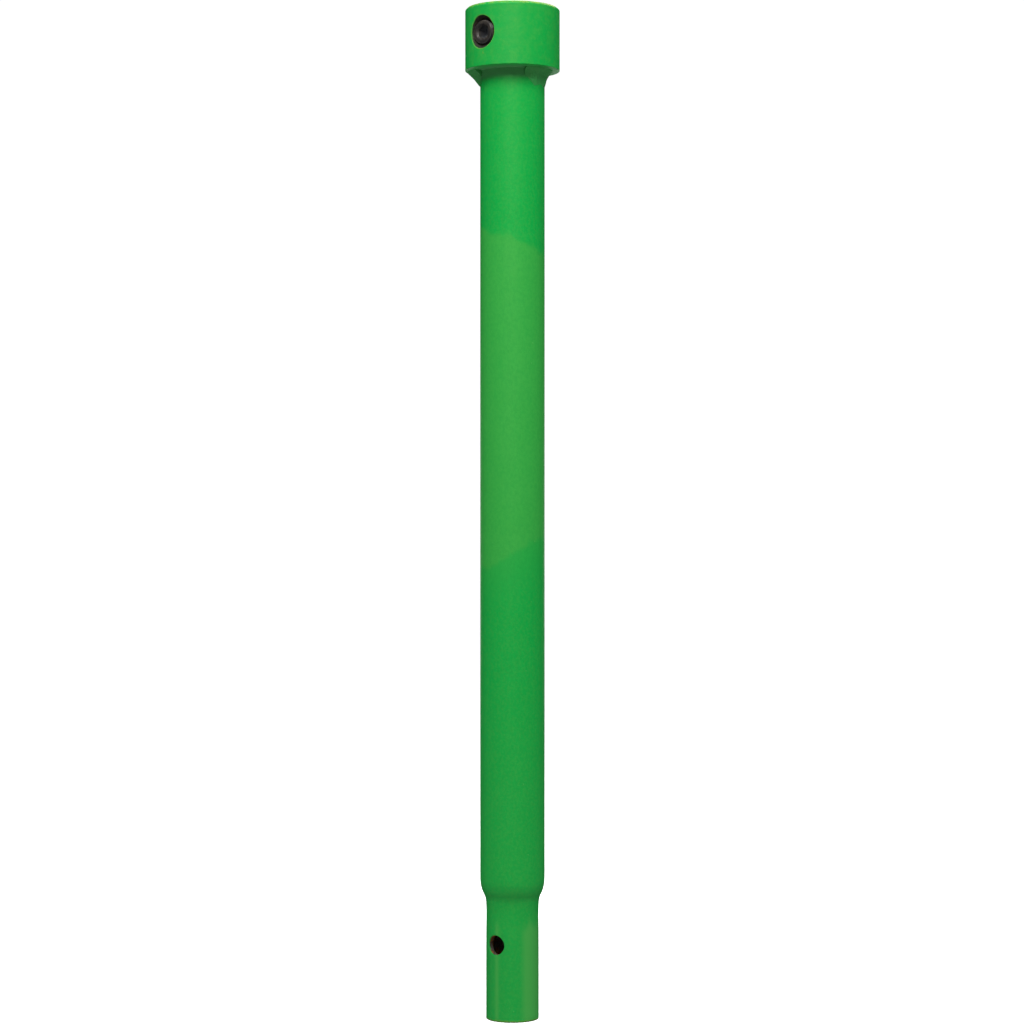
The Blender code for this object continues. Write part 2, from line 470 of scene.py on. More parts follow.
def bare_steel(n, colours):
    """Colour, roughness and grain of the unpainted steel in the bores and holes."""
    scale_low, scale_high, rust_low, rust_high, level = colours
    blotch = n.noise(110, 5, 0.62)
    fine = n.noise(700, 4, 0.6, offset=(3, 1, 2))
    scale = n.mix(n.ramp(fine, 0.35, 0.7), scale_low, scale_high)
    rust = n.mix(n.ramp(fine, 0.3, 0.75), rust_low, rust_high)
    colour = n.mix(n.ramp(blotch, level, level + 0.14), scale, rust)
    roughness = n.ramp(blotch, 0.4, 0.7, 0.5, 0.85)
    return colour, roughness, fine


def pipe_zones(n, speckle):
    """How yellow the pipe's green is: a band round its middle, and the speckle elsewhere.

    The band is a yellower batch of the same green, and its two ends slope opposite ways.
    """
    cloud = n.noise(14, 3, 0.55)
    ragged = n.math("MULTIPLY", n.noise(70, 3, 0.6, offset=(6, 1, 3)), 0.014)
    lower = n.math("ADD", n.along(BAND_LOWER), ragged)
    upper = n.math("ADD", n.along(BAND_UPPER), ragged)
    rise = n.math("MULTIPLY", n.ramp(lower, *BAND_STEP), 0.55)
    rise = n.math("ADD", rise, n.ramp(lower, *BAND_FADE, 0.0, 0.45))
    fall = n.ramp(upper, *BAND_STOP, 1.0, 0.0)
    band = n.math("MULTIPLY", n.math("MULTIPLY", rise, fall), 0.9)
    height = n.math("ADD", n.along((0, 0, 1)), n.math("MULTIPLY", cloud, 0.03))
    elsewhere = n.math("ADD", n.ramp(height, 0.16, 0.24, 0.08, 0.0), speckle)
    return n.math("MAXIMUM", band, elsewhere)


def blotches(n, speckle):
    """How yellow the green of the collar and the welds is: soft blotches and a speckle."""
    soft = n.ramp(n.noise(210, 4, 0.62, offset=(4, 8, 1)), 0.41, 0.63, 0.0, 0.58)
    return n.math("ADD", soft, speckle)


def powder_coat(name, steel, pattern, waviness=1.0, deep=0.0):
    """Semi-gloss green powder coat, which thins away where the mesh's masks say.

    `steel` shows where the coat is gone, `pattern` yellows the green, `waviness` scales the
    coat's waves, and `deep` is the share of the deeper green all over.
    """
    n = Nodes(name)
    mottle = n.noise(430, 4, 0.7)
    speckle = n.ramp(n.noise(560, 4, 0.7, offset=(9, 4, 7)), 0.40, 0.62, 0.0, 0.40)
    tone = n.math("MAXIMUM", pattern(n, speckle), n.attribute("tone"))
    base = n.mix(tone, GREEN, YELLOWER_GREEN)
    base = n.mix(n.ramp(mottle, 0.36, 0.66, 0.0, 0.26), base, DEEP_GREEN)
    base = n.mix(deep, base, DEEP_GREEN)
    # Painted highlight: lighter upright streaks down the shank.
    base = n.mix(n.attribute("streak"), base, STREAK_GREEN)
    # Painted shade: a duller green under the collar, on its underside and over the welds.
    base = n.mix(n.attribute("dull"), base, DULL_GREEN)
    # A few nibs and dust specks caught in the coat.
    chosen = n.ramp(n.noise(120, 1, 0.5, offset=(7, 2, 5)), 0.66, 0.70)
    nib = n.math("MULTIPLY", n.ramp(n.cells(230), 0.05, 0.16, 1.0, 0.0), chosen)
    base = n.mix(n.math("MULTIPLY", nib, 0.35), base, NIB_GREEN)
    # Edges where the coat pulled thin, and painted highlights along lit edges, broken up by
    # noise.
    broken = n.math("SUBTRACT", n.noise(900, 3, 0.6, offset=(1, 4, 2)), 0.5)
    thin = n.math("ADD", n.attribute("rub"), n.math("MULTIPLY", broken, 0.9))
    thin = n.ramp(thin, 0.35, 1.15)
    base = n.mix(thin, base, THIN_GREEN)

    rust, rust_roughness, grain = bare_steel(n, steel)
    bare = n.ramp(n.math("ADD", n.attribute("bare"), broken), 0.46, 0.54)
    n.put(n.shader.inputs["Base Color"], n.mix(bare, base, rust))

    paint_roughness = n.ramp(n.noise(60, 3, 0.6, offset=(2, 2, 9)), 0.3, 0.7, 0.45, 0.54)
    dusty = n.math("MAXIMUM", n.attribute("dull"), thin)
    dusty = n.blend(dusty, paint_roughness, 0.6)
    n.put(n.shader.inputs["Roughness"], n.blend(bare, dusty, rust_roughness))
    n.put(n.shader.inputs["Metallic"], n.math("MULTIPLY", bare, 0.25))
    n.shader.inputs["Specular IOR Level"].default_value = COAT_SPECULAR
    n.shader.inputs["Specular Tint"].default_value = COAT_SPECULAR_TINT

    # Long waves, orange peel, nibs, and pits where the steel is bare.
    waves = n.noise(110, 2, 0.5, offset=(5, 1, 1))
    normal = n.bump(waves, 0.00022 * waviness, 0.5)
    normal = n.bump(n.noise(620, 2, 0.45), 0.00004, 0.6, normal)
    normal = n.bump(nib, 0.00012, 0.7, normal)
    pits = n.bump(n.math("MULTIPLY", grain, bare), 0.0004, 0.9, normal)
    n.put(n.shader.inputs["Normal"], pits)
    return n.material


def black_oxide(name):
    """Black oxide over machined steel, a little brown and rubbed bright on its edges."""
    n = Nodes(name)
    cloud = n.noise(300, 4, 0.6)
    fine = n.noise(1500, 3, 0.6, offset=(2, 5, 1))
    colour = n.mix(n.ramp(cloud, 0.35, 0.7), BLACK_OXIDE, BROWN_OXIDE)
    # Painted light: a lighter, bluer grey deep in the socket and on the screw's lower edge,
    # where shade falls.
    colour = n.mix(n.attribute("tone"), colour, SOCKET_GREY)
    # Worn edges, and a painted highlight where the mouth's rim was knocked.
    worn = n.math("ADD", n.attribute("bare"), n.math("MULTIPLY", fine, 0.5))
    worn = n.ramp(worn, 0.70, 1.25)
    colour = n.mix(worn, colour, WORN_OXIDE)
    n.put(n.shader.inputs["Base Color"], colour)
    n.put(n.shader.inputs["Metallic"], n.blend(worn, 0.35, 0.85))
    n.put(n.shader.inputs["Roughness"], n.ramp(cloud, 0.3, 0.75, 0.36, 0.52))
    n.put(n.shader.inputs["Normal"], n.bump(fine, 0.00002, 0.5))
    return n.material


# ---- The pipe -------------------------------------------------------------------------
PIPE_COLUMNS = 192
PIPE_HALF_WINDOW = 21  # columns each side of a hole
PIPE_FOOT = 0.8  # height of the walls' first row, above the rounded edge
SHOULDER = (74.0, 96.0)  # heights between which rows crowd for the swaged shoulder
CLOSE_ROWS = 24.0  # how far below the collar they crowd, for the fade of the painted shade under it


def pipe_radius(z):
    """The pipe's outside, with the swaged shoulder and the slight neck under it."""
    knots = [
        (0.0, SHANK_R),
        (44.0, SHANK_R),
        (52.0, SHANK_R - 0.02),
        (58.0, SHANK_R - 0.06),
        (64.0, SHANK_R - 0.14),
        (69.0, SHANK_R - 0.20),
        (73.0, SHANK_R - 0.12),
        (75.5, SHANK_R + 0.02),
        (77.3, SHANK_R + 0.16),
        (78.9, SHANK_R + 0.42),
        (80.7, SHANK_R + 1.02),
        (82.6, SHANK_R + 1.95),
        (84.6, SHANK_R + 2.74),
        (86.6, SHANK_R + 3.26),
        (88.8, SHANK_R + 3.66),
        (91.2, PIPE_R - 0.05),
        (94.0, PIPE_R),
        (110.0, PIPE_R),
        (TOP, PIPE_R),
    ]
    return catmull_rom(knots, np.asarray(z, float))


def bore_radius(z):
    """The pipe's inside, which follows the swaging."""
    share = smooth((np.asarray(z, float) - 79.0) / 11.0)
    return SHANK_BORE_R + (BORE_R - SHANK_BORE_R) * share


def spaced(low, high, step):
    """Heights from low up to, but not including, high."""
    count = max(1, int(round((high - low) / step)))
    return list(np.linspace(low, high, count + 1)[:-1])


def window_rows(hole_z, reach, count):
    """Heights of a hole's window, from its lower edge up to, but not including, its top."""
    return list(np.linspace(hole_z - reach, hole_z + reach, count + 1)[:-1])


def pipe_wall(radius_of, ends, spacing):
    """Heights of one side of the pipe wall, its windows' first rows, and their row count.

    `spacing` is the step between rows on the shank, through the shoulder and above it.
    """
    on_shank, on_shoulder, above = spacing
    half_angle = PIPE_HALF_WINDOW * math.tau / PIPE_COLUMNS
    count = 2 * PIPE_HALF_WINDOW
    reach_low = float(radius_of(CROSS_HOLE_Z)) * math.sin(half_angle)
    reach_high = float(radius_of(SCREW_Z)) * math.sin(half_angle)
    low, high = ends
    heights = spaced(low, CROSS_HOLE_Z - reach_low, on_shank)
    first = len(heights)
    heights += window_rows(CROSS_HOLE_Z, reach_low, count)
    heights += spaced(CROSS_HOLE_Z + reach_low, SHOULDER[0], on_shank * 0.6)
    heights += spaced(*SHOULDER, on_shoulder)
    heights += spaced(SHOULDER[1], COLLAR_BOTTOM - CLOSE_ROWS, above)
    heights += spaced(COLLAR_BOTTOM - CLOSE_ROWS, SCREW_Z - reach_high, above * 0.15)
    second = len(heights)
    heights += window_rows(SCREW_Z, reach_high, count)
    heights += spaced(SCREW_Z + reach_high, high, 1.0) + [high]
    return np.array(heights), (first, second), count


def shank_streaks(points):
    """Painted highlights on the shank's coat, in upright streaks of lighter green."""
    bearing = np.degrees(np.arctan2(points[..., 0], -points[..., 1]))
    height = points[..., 2]
    narrow = 0.85 * np.exp(-(((bearing - 4.6) / 5.5) ** 2))
    broad = smooth((bearing - 54) / 20) * smooth((128 - bearing) / 22)
    back = 0.7 * np.exp(-(((bearing + 120) / 16.0) ** 2))
    wavering = 2.0 * wander(bearing, 9.0, 5)
    return (narrow + broad + back) * smooth((68 + wavering - height) / 10.0)


def pipe_side(shell, radius_of, ends, spacing, outside):
    """One side of the pipe wall; returns the loops of points round its two holes."""
    heights, starts, count = pipe_wall(radius_of, ends, spacing)
    points = turn(radius_of(heights), heights, PIPE_COLUMNS)
    skip = np.zeros(points.shape[:2], bool)
    loops = []
    for start in starts:
        part, loop = window(
            len(heights), PIPE_HALF_WINDOW, start, start + count, PIPE_COLUMNS
        )
        skip |= part
        loops.append(np.array([points[i, j] for i, j in loop]))
    height = heights[:, None]
    if outside:
        masks = {
            # Browner over the shank's bottom 3 mm.
            "rub": 0.75 * smooth((3.2 - height) / 3.0),
            "streak": shank_streaks(points),
            # Painted shade: a duller green just under the collar.
            "dull": smooth((height - (COLLAR_BOTTOM - 8)) / 3.5),
        }
    else:
        overspray = smooth((height - (PIPE_TOP - 9)) / 6.0)
        foot = smooth((7 - height) / 5.0)
        masks = {"bare": 1.0 - 0.75 * np.maximum(overspray, foot)}
    shell.grid(points, skip=skip, **masks)
    return loops


def end_face(shell, outer, inner, face_z, bare_ends, rub):
    """The annulus at one end, between two (radius, height) wall ends, with rounded edges."""
    face = rounded(
        [outer, (outer[0], face_z), (inner[0], face_z), inner],
        [0, min(abs(outer[1] - face_z), 0.7), min(abs(inner[1] - face_z), 0.5), 0],
    )
    bare = np.linspace(bare_ends[0], bare_ends[1], len(face))[:, None]
    shell.grid(turn(face[:, 0], face[:, 1], PIPE_COLUMNS), bare, rub=rub)


def pipe_outer_depth(x, z):
    """Distance of the pipe's outside from the plane through its axis."""
    return np.sqrt(pipe_radius(z) ** 2 - x**2)


def pipe_inner_depth(x, z):
    """Distance of the pipe's inside from the plane through its axis."""
    return np.sqrt(bore_radius(z) ** 2 - x**2)


def pipe_hole(shell, outer_loop, inner_loop, hole_z, tapped):
    """One hole: the surfaces round its two rims, and its wall."""
    phi = loop_bearings(len(outer_loop))
    if tapped:
        radius, fillet = np.full(len(phi), PIPE_HOLE_R), 0.05
    else:
        radius, fillet = CROSS_HOLE_R + 0.03 * np.cos(3 * phi + 0.6), 0.45
    rim, inner_rim = radius + fillet, radius + INNER_FLARE
    outer_rings = patch(outer_loop, hole_z, rim, pipe_outer_depth, 12)
    inner_rings = patch(inner_loop, hole_z, inner_rim, pipe_inner_depth, 10)
    shell.grid(outer_rings, streak=0.0 if tapped else shank_streaks(outer_rings))
    shell.grid(inner_rings, 1.0)
    # From the outer rim, over a rounded edge, through the wall to the inner rim.
    start = pipe_outer_depth(rim * np.cos(phi), hole_z + rim * np.sin(phi))
    finish = pipe_inner_depth(inner_rim * np.cos(phi), hole_z + inner_rim * np.sin(phi))
    wall = []
    bare = []
    for t in np.linspace(0, 1, 7):
        angle = t * math.pi / 2
        rho = radius + fillet * (1 - math.sin(angle))
        depth = start - fillet * (1 - math.cos(angle))
        wall.append(ring_round_hole(rho, phi, hole_z, depth))
        bare.append(0.15 + 0.25 * t)
    if tapped:
        wall += tapped_rows(start - fillet, finish, lambda depth: 0 * depth)
    else:
        for t in np.linspace(0, 1, 15)[1:]:
            depth = (start - fillet) * (1 - t) + finish * t
            rho = radius + INNER_FLARE * smooth((t - 0.9) / 0.1)
            wall.append(ring_round_hole(rho, phi, hole_z, depth))
    share = np.linspace(0, 1, len(wall) - len(bare))
    bare += list(0.45 + 0.55 * smooth(share / 0.2))
    shell.grid(np.array(wall), np.array(bare)[:, None])


def make_pipe(material):
    """The swaged pipe: outside, bore, ends, and the two holes through its wall."""
    shell = Shell()
    outer_top, inner_top = PIPE_TOP - 0.5, PIPE_TOP - 0.8
    outer_loops = pipe_side(
        shell, pipe_radius, (PIPE_FOOT, outer_top), (2.2, 0.5, 12.0), outside=True
    )
    inner_loops = pipe_side(
        shell, bore_radius, (PIPE_FOOT, inner_top), (3.0, 1.3, 18.0), outside=False
    )
    shank_ends = (SHANK_R, PIPE_FOOT), (SHANK_BORE_R, PIPE_FOOT)
    # The shank's end face is browner too.
    end_face(shell, *shank_ends, 0.0, (0.36, 0.55), 0.8)
    pipe_ends = (PIPE_R, outer_top), (BORE_R, inner_top)
    end_face(shell, *pipe_ends, PIPE_TOP, (0.0, 0.5), 0.0)
    pipe_hole(shell, outer_loops[0], inner_loops[0], CROSS_HOLE_Z, tapped=False)
    pipe_hole(shell, outer_loops[1], inner_loops[1], SCREW_Z, tapped=True)
    return shell.build("painted_pipe", material)


# ---- The collar -----------------------------------------------------------------------
COLLAR_COLUMNS = 288
COLLAR_HALF_WINDOW = 28
COLLAR_BORE = PIPE_R - 0.05
COLLAR_REACH = 14.6  # half the height of the window in the collar's outside


def paint_run(points):
    """A thin run of coat just under the countersink."""
    across = np.exp(-(((points[..., 0] - 1.4) / 2.0) ** 2))
    down = np.exp(-(((points[..., 2] - SCREW_Z + 14.0) / 3.2) ** 2))
    return np.where(points[..., 1] < 0, 0.58 * across * down, 0.0)


def collar_outer_depth(x, _z=0.0):
    """Distance of the collar's outside from the plane through its axis."""
    return np.sqrt(COLLAR_R**2 - x**2)


def collar_inner_depth(x, _z=0.0):
    """Distance of the collar's inside from the plane through its axis."""
    return np.sqrt(COLLAR_BORE**2 - x**2)


def countersink(depth):
    """The countersink's radius at a distance from the pipe's axis."""
    return COUNTERSINK_R - COUNTERSINK_SLOPE * (COLLAR_R - depth)


def collar_side(shell, radius, heights, start, bare=0.0, run=False):
    """One side of the collar's ring; returns the loop of points round its hole."""
    points = turn(np.full(len(heights), radius), heights, COLLAR_COLUMNS)
    end = start + 2 * COLLAR_HALF_WINDOW
    skip, loop = window(len(heights), COLLAR_HALF_WINDOW, start, end, COLLAR_COLUMNS)
    shell.grid(points, bare, skip=skip, rub=paint_run(points) if run else 0.0)
    return np.array([points[i, j] for i, j in loop])


def collar_top(shell, low):
    """Over the top: chamfer, face, and the seam against the pipe's end."""
    line = rounded(
        [
            (COLLAR_R, low),
            (COLLAR_R, TOP - 1.6),
            (COLLAR_R - 1.6, TOP),
            (PIPE_R + 0.45, TOP),
            (PIPE_R + 0.12, TOP - 0.45),
            (COLLAR_BORE, TOP - 1.0),
        ],
        [0, 0.55, 0.55, 0.3, 0.1, 0],
    )
    radii, heights = line.T
    around = np.arange(COLLAR_COLUMNS) * 360 / COLLAR_COLUMNS
    # Painted highlight: a lighter green along the top's outer edge, varying round it, and a
    # lighter band by the pipe's end.
    worn = 0.95 + 0.30 * wander(around, 3.1, 23) + 0.20 * wander(around, 17.0, 24)
    rub = worn * np.exp(-(((radii - (COLLAR_R - 0.9)) / 0.95) ** 2))[:, None]
    rub = rub + 0.35 * np.exp(-(((radii - PIPE_R - 0.5) / 0.5) ** 2))[:, None]
    shell.grid(turn(radii, heights, COLLAR_COLUMNS), rub=rub)


def collar_underside(shell, high):
    """Underneath: rounded edge, face, and the coat bridging to the pipe."""
    line = rounded(
        [
            (COLLAR_R, high),
            (COLLAR_R, COLLAR_BOTTOM),
            (PIPE_R + 0.7, COLLAR_BOTTOM),
            (PIPE_R + 0.02, COLLAR_BOTTOM - 0.7),
            (COLLAR_BORE, COLLAR_BOTTOM - 0.9),
        ],
        [0, 0.35, 0.5, 0.2, 0],
    )
    radii, heights = line.T
    # Painted shade: the underside takes the duller green of the shade under the collar.
    dull = smooth((COLLAR_R - 0.2 - radii) / 2.0)[:, None]
    shell.grid(turn(radii, heights, COLLAR_COLUMNS), dull=dull)


def collar_hole(shell, outer_loop, inner_loop):
    """The countersunk, tapped hole, and the surfaces round its two rims."""
    phi = loop_bearings(len(outer_loop))
    # Where the countersink meets the collar's round side.
    rim = np.full(len(phi), COUNTERSINK_R)
    for _ in range(40):
        rim = countersink(collar_outer_depth(rim * np.cos(phi)))
    lip_rim = rim + COUNTERSINK_LIP
    around_hole = patch(outer_loop, SCREW_Z, lip_rim, collar_outer_depth, 14)
    shell.grid(around_hole, rub=paint_run(around_hole))
    lip_depth = collar_outer_depth(lip_rim * np.cos(phi))
    rim_depth = collar_outer_depth(rim * np.cos(phi))
    start = rim_depth - COUNTERSINK_LIP
    # The rounded lip runs from a to c, drawn towards b.
    a = ring_round_hole(lip_rim, phi, SCREW_Z, lip_depth)
    b = ring_round_hole(rim, phi, SCREW_Z, rim_depth)
    c = ring_round_hole(countersink(start), phi, SCREW_Z, start)
    steps = np.linspace(0, 1, 9)
    edge = [(1 - t) ** 2 * a + 2 * t * (1 - t) * b + t * t * c for t in steps]
    # Painted highlight: a lighter green round the countersink's rounded lip.
    rub = np.exp(-(((steps - 0.35) / 0.3) ** 2))[:, None]
    shell.grid(np.array(edge), (0.45 * steps**2)[:, None], rub=rub)

    finish = collar_inner_depth(TAPPED_SEAM_R * np.cos(phi))
    wall = [edge[-1]] + tapped_rows(start, finish, countersink)
    share = np.linspace(0, 1, len(wall))
    bare = 0.45 + 0.55 * smooth(share / 0.02)
    shell.grid(np.array(wall), bare[:, None])
    seam = np.full(len(phi), TAPPED_SEAM_R)
    shell.grid(patch(inner_loop, SCREW_Z, seam, collar_inner_depth, 8), 0.6)


def make_collar(material):
    """The collar: a turned ring with a countersunk, tapped hole."""
    shell = Shell()
    count = 2 * COLLAR_HALF_WINDOW
    low, high = COLLAR_BOTTOM + 0.9, TOP - 2.4
    outer = spaced(low, SCREW_Z - COLLAR_REACH, 1.0)
    outer_start = len(outer)
    outer += window_rows(SCREW_Z, COLLAR_REACH, count)
    outer += spaced(SCREW_Z + COLLAR_REACH, high, 0.8) + [high]
    outer_loop = collar_side(shell, COLLAR_R, outer, outer_start, run=True)

    collar_top(shell, high)
    collar_underside(shell, low)

    reach = COLLAR_BORE * math.sin(COLLAR_HALF_WINDOW * math.tau / COLLAR_COLUMNS)
    inner = [COLLAR_BOTTOM - 0.9]
    inner += spaced(COLLAR_BOTTOM, SCREW_Z - reach, 2.0)
    inner_start = len(inner)
    inner += window_rows(SCREW_Z, reach, count)
    inner += spaced(SCREW_Z + reach, TOP - 1.0, 1.5) + [TOP - 1.0]
    inner_loop = collar_side(shell, COLLAR_BORE, inner, inner_start, bare=0.5)

    collar_hole(shell, outer_loop, inner_loop)
    return shell.build("painted_collar", material)


# ---- The set screw --------------------------------------------------------------------
SCREW_COLUMNS = 240
MOUTH_R = 5.45  # where the socket's chamfer meets the face
FACE_R = 6.95
FACE_EDGE = 0.55  # radius of the face's rounded edge
FACE_SLOPE = 0.02


def make_set_screw(material):
    """Hexagon-socket set screw with a half-dog point and a rolled thread."""
    phi = np.arange(SCREW_COLUMNS) * math.tau / SCREW_COLUMNS
    turned_by = math.radians(SOCKET_TURN)
    half_flat = SOCKET_FLATS / 2
    sector = (phi - turned_by + math.pi / 6) % (math.pi / 3) - math.pi / 6
    # A broached hexagon, with its sharp corners taken off.
    hexagon = half_flat / np.cos(sector)
    hexagon = np.minimum(hexagon, half_flat / math.cos(math.pi / 6) - 0.10)
    # Where a key knocked the mouth's rim, lighter there as a painted highlight, and the side
    # that looks down.
    knock = np.exp(-(((phi - math.radians(207)) / 0.28) ** 2))
    # Painted light: on the side that looks down, the face's edge and first thread take the
    # lighter grey, where shade falls.
    under = np.clip(-np.sin(phi), 0, 1)
    rows = []
    worn = []
    inside = []

    def ring(radius, depth, wear, socket=0.0):
        """One more row: `wear` bares the steel, and `socket` paints it the lighter grey of
        painted light.
        """
        rows.append(ring_round_hole(radius + 0 * phi, phi, SCREW_Z, depth + 0 * phi))
        worn.append(wear + 0 * phi)
        inside.append(socket + 0 * phi)

    floor = SCREW_FACE - SOCKET_DEPTH
    # The socket's floor and deep walls take the lighter grey: painted light in the socket's
    # shade.
    ring(0.0, floor - 1.5, 0, 1)
    ring(half_flat * 0.5, floor - 0.8, 0, 1)
    ring(half_flat - 0.05, floor, 0, 1)
    for t in np.linspace(0, 1, 5):
        corners = np.minimum(hexagon, half_flat - 0.05 + t * 1.0)
        ring(corners, floor + 0.05 + 0.4 * t, 0, 1)
    drop = (MOUTH_R - hexagon) * 0.62 + 0.05  # the mouth's chamfer, deepest at the flats
    top = SCREW_FACE - drop
    for t in np.linspace(0.1, 1, 8):
        ring(hexagon, (floor + 0.45) * (1 - t) + top * t, 0, 0.9 * (1 - t) ** 1.6)
    for t in np.linspace(0.15, 1, 6):
        radius = hexagon * (1 - t) + MOUTH_R * t
        ring(radius, SCREW_FACE - drop * (1 - t), (0.30 + 0.35 * knock) * t**3)
    for t in np.linspace(0.06, 1, 8):
        wear = 0.45 - 0.2 * t + 0.35 * knock * (1 - t)
        ring(MOUTH_R * (1 - t) + FACE_R * t, SCREW_FACE - FACE_SLOPE * t, wear)
    # The face's rounded edge, then the thread, which the two end chamfers cut.
    for t in np.linspace(0.15, 1, 7):
        angle = t * math.pi / 3
        start_r = FACE_R + FACE_EDGE * math.sin(angle)
        start = SCREW_FACE - FACE_SLOPE - FACE_EDGE * (1 - math.cos(angle))
        ring(start_r, start, 0.6, 0.5 * under * t)
    shoulder = POINT_TIP + POINT_LENGTH
    for depth in np.linspace(start, shoulder + 0.75, 118)[1:]:
        profile = thread_radius(depth, phi, False)
        outer_chamfer = start_r + (start - depth) * 1.2
        inner_chamfer = POINT_R + 0.3 + (depth - shoulder)
        radius = np.minimum(profile, np.minimum(outer_chamfer, inner_chamfer))
        ring(radius, depth, 0.05, 0.5 * under * max(0.0, 1 - (start - depth) / 2))
    ring(POINT_R + 0.25, shoulder + 0.25, 0.1)
    for t in np.linspace(0, 1, 8):
        ring(POINT_R, shoulder - t * (POINT_LENGTH - 0.5), 0.2)
    for r, offset in corner((POINT_R, 3), (POINT_R, 0), (3, 0), 0.5, 5):
        ring(r, POINT_TIP + offset, 0.5)
    for r in (5.0, 3.6, 2.0, 0.0):
        ring(r, POINT_TIP, 0.3)
    shell = Shell()
    shell.grid(np.array(rows), np.array(worn), tone=np.array(inside))
    return shell.build("threaded_set_screw", material, 42)


# ---- The welds ------------------------------------------------------------------------
WELD_ROWS = 230
WELD_FACE_STEPS = 32
WELD_SUNK = 0.9  # how far a bead is buried in the pipe and the collar
RIPPLE = 0.20
RIPPLE_PITCH = 2.1
# Painted shade: the share of the duller green over the whole weld, which lies in the collar's
# shade.
WELD_DULL = 0.55


def make_weld(name, start, end, legs, belly, seed, material, lumps=()):
    """A fillet weld laid by hand under the collar, between two bearings in degrees.

    `legs` are its reach out under the collar and down the pipe, `belly` how far its face
    bulges for its width, and `lumps` its (bearing, reach, swell) irregularities.
    """
    shell = Shell()
    share = np.linspace(0, 1, WELD_ROWS)
    bearing = np.radians(start + (end - start) * share)
    arc = share * math.radians(abs(end - start)) * (PIPE_R + 3)
    length = arc[-1]
    # The bead swells from each end to its full size.
    grown = smooth(arc / 9.0) * smooth((length - arc) / 9.0)
    size = 0.52 + 0.48 * grown
    leg_out = legs[0] * size * (1 + 0.05 * wander(arc, 5.0, seed))
    leg_down = legs[1] * size * (1 + 0.05 * wander(arc, 6.5, seed + 1))
    for centre, reach, swell in lumps:
        bump = swell * np.exp(-(((np.degrees(bearing) - centre) / reach) ** 2))
        leg_out = leg_out * (1 + bump)
        leg_down = leg_down * (1 + 0.7 * bump)
    leg_out = np.minimum(leg_out, COLLAR_R - PIPE_R - 0.35)
    q = np.linspace(0, 1, WELD_FACE_STEPS)  # across the face, from toe to toe
    sections = []
    for i in range(WELD_ROWS):
        toe_out = np.array([PIPE_R + leg_out[i], COLLAR_BOTTOM])
        toe_down = np.array([PIPE_R - 0.05, COLLAR_BOTTOM - leg_down[i]])
        line = toe_out[None] * (1 - q[:, None]) + toe_down[None] * q[:, None]
        across = toe_down - toe_out
        width = np.linalg.norm(across)
        normal = np.array([-across[1], across[0]]) / width
        if normal @ np.array([1.0, -1.0]) < 0:
            normal = -normal
        bulge = belly * width * np.sin(math.pi * q)
        bulge = bulge + 0.035 * width * wander(arc[i] + 0 * q, 4.0, seed + 2)
        # Crescent ripples that lag behind at the toes.
        lag = 2.2 * (2 * q - 1) ** 2 + 0.5 * wander(arc[i] + 9 * q, 3, seed)
        wave = np.abs(np.sin(math.pi * (arc[i] + lag) / RIPPLE_PITCH))
        ripple = RIPPLE * (wave**0.7 - 0.5)
        rough = 0.12 * wander_2d(arc[i] + 0 * q, q * 11, 1.6, seed + 3)
        lift = bulge * np.sin(math.pi * q) ** 0.3
        lift = lift + (ripple + rough) * np.sin(math.pi * q) ** 0.5 * size[i]
        face = line + normal[None] * lift[:, None]
        face[:, 1] = np.minimum(face[:, 1], COLLAR_BOTTOM + 0.02)
        inner = [
            (PIPE_R - WELD_SUNK, toe_down[1] + 0.2),
            (PIPE_R - WELD_SUNK, COLLAR_BOTTOM + WELD_SUNK),
            (toe_out[0] - 0.2, COLLAR_BOTTOM + WELD_SUNK),
        ]
        section = np.concatenate([face, inner])
        section[:, 0] = np.maximum(section[:, 0], PIPE_R - WELD_SUNK)
        sections.append(section)
    sections = np.array(sections)
    radius, height = sections[..., 0], sections[..., 1]
    a = bearing[:, None]
    points = np.stack([radius * np.sin(a), -radius * np.cos(a), height], -1)
    shell.grid(points, dull=WELD_DULL)
    # Rounded ends.
    for row, grow in ((0, -1), (-1, 1)):
        loop = points[row]
        middle = loop.mean(0)
        side = bearing[row]
        along = np.array([math.cos(side), math.sin(side), 0.0]) * grow
        rings = [loop]
        for t in (0.3, 0.6, 0.83, 0.96, 1.0):
            shrink = math.sqrt(max(1 - t * t, 0))
            rings.append(middle + (loop - middle) * shrink + along * t * 1.1)
        shell.grid(np.array(rings), dull=WELD_DULL)
    return shell.build(name, material, 60)


# ---- Build ----------------------------------------------------------------------------
pipe_paint = powder_coat("pipe_powder_coat", WEATHERED, pipe_zones)
collar_paint = powder_coat("collar_powder_coat", OILED, blotches, deep=0.32)
weld_paint = powder_coat("weld_powder_coat", WEATHERED, blotches, waviness=1.6, deep=0.25)
oxide = black_oxide("black_oxide_screw")

pipe = make_pipe(pipe_paint)
collar = make_collar(collar_paint)
screw = make_set_screw(oxide)
weld_right = make_weld(
    "painted_weld_right", 65, 147, (5.3, 11.4), -0.07, 11, weld_paint, [(70, 6, 0.10)]
)
weld_left = make_weld("painted_weld_left", -119, -33, (9.1, 9.7), -0.05, 47, weld_paint)

for piece, body, node, slot in (
    (pipe, "shaft", "drive_tube", "tube_paint"),
    (collar, "shaft", "coupling_collar", "collar_paint"),
    (weld_right, "shaft", "weld_bead_right", "weld_paint"),
    (weld_left, "shaft", "weld_bead_left", "weld_paint"),
    (screw, "set_screw", "set_screw", "black_oxide"),
):
    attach(piece, body)
    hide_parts(node)


